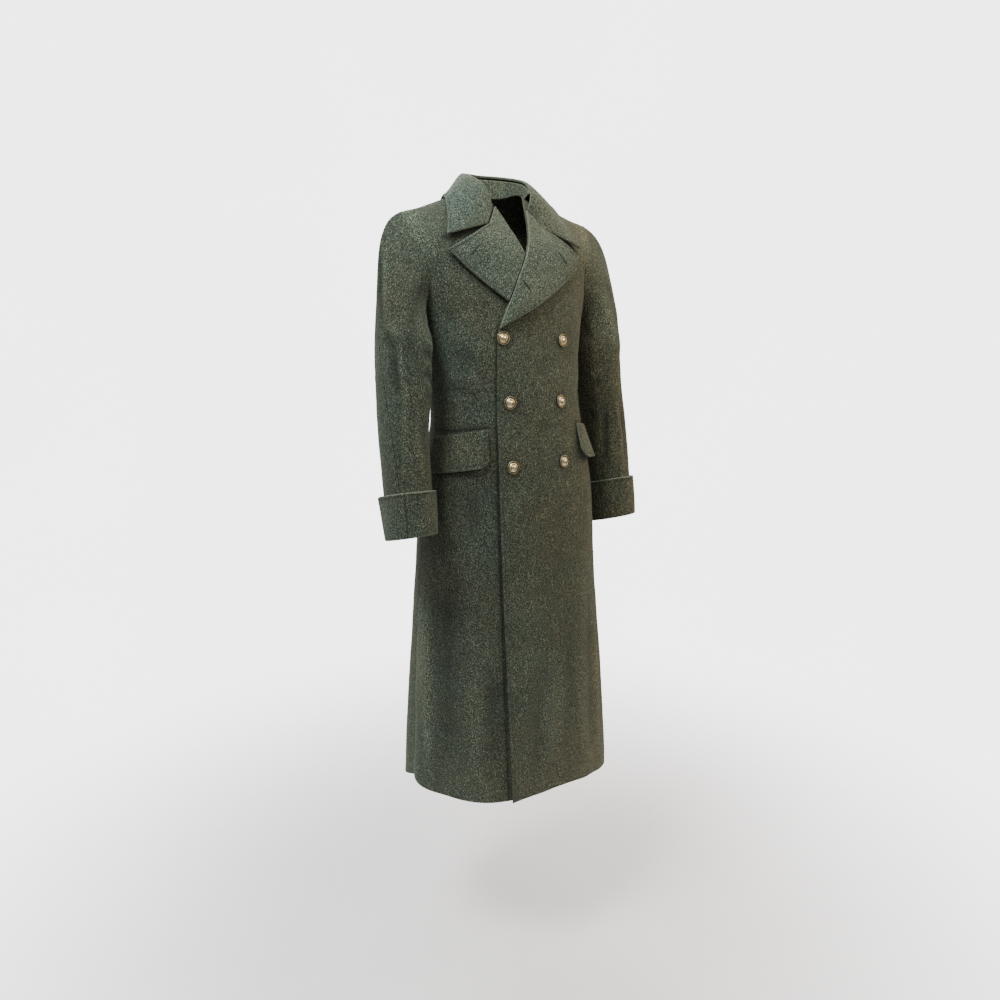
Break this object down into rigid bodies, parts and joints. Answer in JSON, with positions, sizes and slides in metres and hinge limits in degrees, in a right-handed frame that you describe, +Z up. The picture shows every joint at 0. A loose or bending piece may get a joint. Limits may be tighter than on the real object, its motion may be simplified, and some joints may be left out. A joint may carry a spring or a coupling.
{
  "type": "double-breasted greatcoat",
  "caption": "Long double-breasted wool greatcoat in hollow worn form, with a wide fall collar, peaked lapels, domed metal buttons, slanted hip flaps and turned-back cuffs",
  "frame": {"origin": "Between the shoulder seams, where neck and shoulders carry the coat, 1.53 m above the wearer's ground", "axes": "+Z up, -Y the way the wearer faces, +X the wearer's left"},
  "size_m": [0.5631, 0.3317, 1.2375],
  "materials": {
    "wool": "matt melton in green-grey melange",
    "metal": "polished pale gold"
  },
  "bodies": {
    "root": {"back_left": "wool", "back_right": "wool", "button_left_1": "metal", "button_left_2": "metal", "button_left_3": "metal", "button_right_1": "metal", "button_right_2": "metal", "button_right_3": "metal", "collar_fall": "wool", "collar_stand": "wool", "cuff_left": "wool", "cuff_right": "wool", "flap_left": "wool", "flap_right": "wool", "front_left": "wool", "front_right": "wool", "lapel_left": "wool", "lapel_right": "wool", "sleeve_top_left": "wool", "sleeve_top_right": "wool", "sleeve_under_left": "wool", "sleeve_under_right": "wool"}
  },
  "joints": []
}
